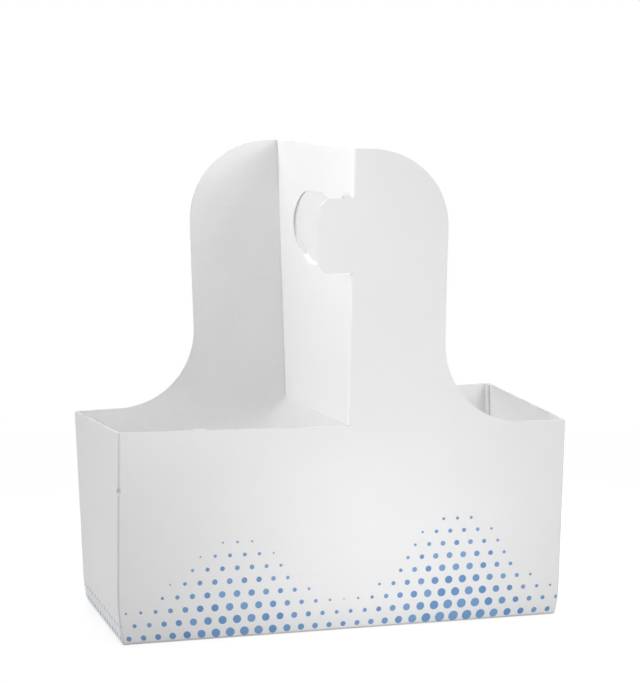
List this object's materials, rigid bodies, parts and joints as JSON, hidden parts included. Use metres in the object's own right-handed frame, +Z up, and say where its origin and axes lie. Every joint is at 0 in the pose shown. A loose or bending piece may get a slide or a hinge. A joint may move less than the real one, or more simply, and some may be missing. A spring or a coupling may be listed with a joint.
{
  "type": "folded paperboard cup carrier",
  "caption": "Open white board box with a split, rounded handle and a divider with a hand hole, folded from one sheet to carry take-away cups side by side.",
  "frame": {"origin": "middle of the base, on the surface it stands on", "axes": "+Z up through the handle, +X along the width past both cups, -Y towards the front wall"},
  "size_m": [0.2, 0.095, 0.21],
  "materials": {
    "board": "clay-coated white paperboard, matt to satin, with pale blue print along the foot"
  },
  "bodies": {
    "root": {"cup_carrier": "board"}
  },
  "joints": []
}
